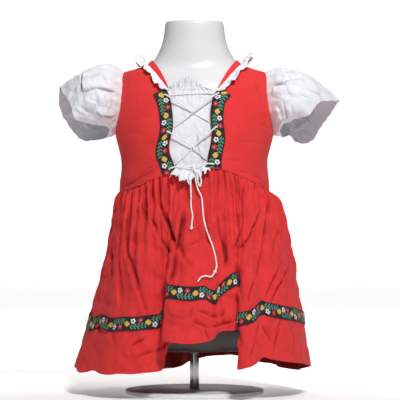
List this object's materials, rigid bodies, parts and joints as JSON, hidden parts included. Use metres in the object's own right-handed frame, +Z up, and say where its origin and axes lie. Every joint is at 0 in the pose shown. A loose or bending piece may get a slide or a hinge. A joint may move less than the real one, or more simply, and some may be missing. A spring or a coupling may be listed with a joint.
{
  "type": "dirndl on a limbless dress form",
  "caption": "Child's dirndl with puff sleeves, a laced bodice over a white insert and flower ribbon bands, worn by a limbless dress form on a round stand.",
  "frame": {"origin": "centre of the underside of the stand's round base", "axes": "+Z up; the dress faces -Y; -X is the left of the dress as seen from the front"},
  "size_m": [0.3664, 0.2577, 0.483],
  "materials": {
    "red_cotton": "plain-woven cotton, slightly creased, matt",
    "white_cotton": "plain-woven thin cotton, creased, matt",
    "woven_ribbon": "jacquard ribbon, black with coloured flowers and leaves",
    "lace_cord": "braided cotton cord",
    "form_shell": "glossy white",
    "pole_chrome": "polished",
    "base_paint": "semi-gloss white"
  },
  "bodies": {
    "root": {"bodice_back": "red_cotton", "bodice_front_left": "red_cotton", "bodice_front_right": "red_cotton", "neck_band": "red_cotton", "skirt_back": "red_cotton", "skirt_front": "red_cotton", "insert": "white_cotton", "neck_ruffle": "white_cotton", "sleeve_left": "white_cotton", "sleeve_right": "white_cotton", "ribbon_bodice_left": "woven_ribbon", "ribbon_bodice_right": "woven_ribbon", "ribbon_skirt_back": "woven_ribbon", "ribbon_skirt_front": "woven_ribbon", "lacing": "lace_cord", "lace_knot": "lace_cord", "lace_loop": "lace_cord", "lace_end_left": "lace_cord", "lace_end_right": "lace_cord", "lace_tail_right": "lace_cord", "lace_tip_left": "lace_cord", "lace_tip_right": "lace_cord", "dress_form": "form_shell", "stand_pole": "pole_chrome", "stand_base": "base_paint"}
  },
  "joints": []
}
